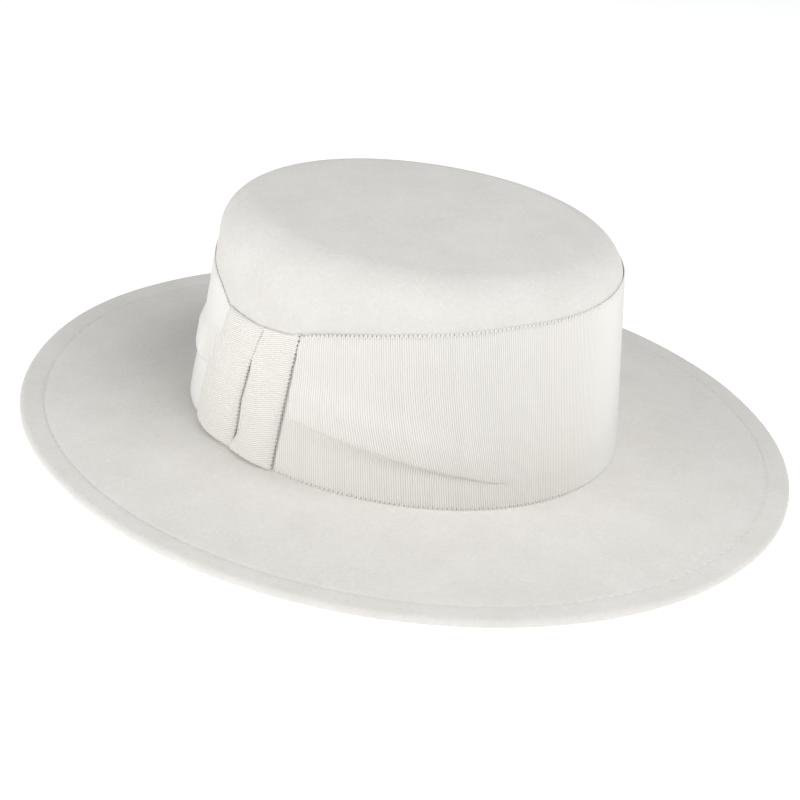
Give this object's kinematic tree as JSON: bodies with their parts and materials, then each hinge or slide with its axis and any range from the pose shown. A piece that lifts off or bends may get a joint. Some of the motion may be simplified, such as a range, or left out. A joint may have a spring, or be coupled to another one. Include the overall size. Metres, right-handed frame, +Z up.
{
  "type": "flat-crowned wool felt hat",
  "caption": "Wool felt hat with a flat-topped crown, a wide brim turned under at the edge, a gathered grosgrain band and a flat knot at the side.",
  "frame": {"origin": "middle of the hat's outline in plan, on the surface that the brim rests on", "axes": "+Z up through the crown, -Y to the front of the hat, +X to the wearer's left, the side with the knot"},
  "size_m": [0.3104, 0.3566, 0.1059],
  "materials": {
    "felt": "matt wool felt with a short nap",
    "ribbon": "ribbed grosgrain ribbon, soft sheen"
  },
  "bodies": {
    "root": {"felt_body": "felt", "ribbon_band": "ribbon", "knot_front_strip": "ribbon", "knot_rear_strip": "ribbon"}
  },
  "joints": []
}
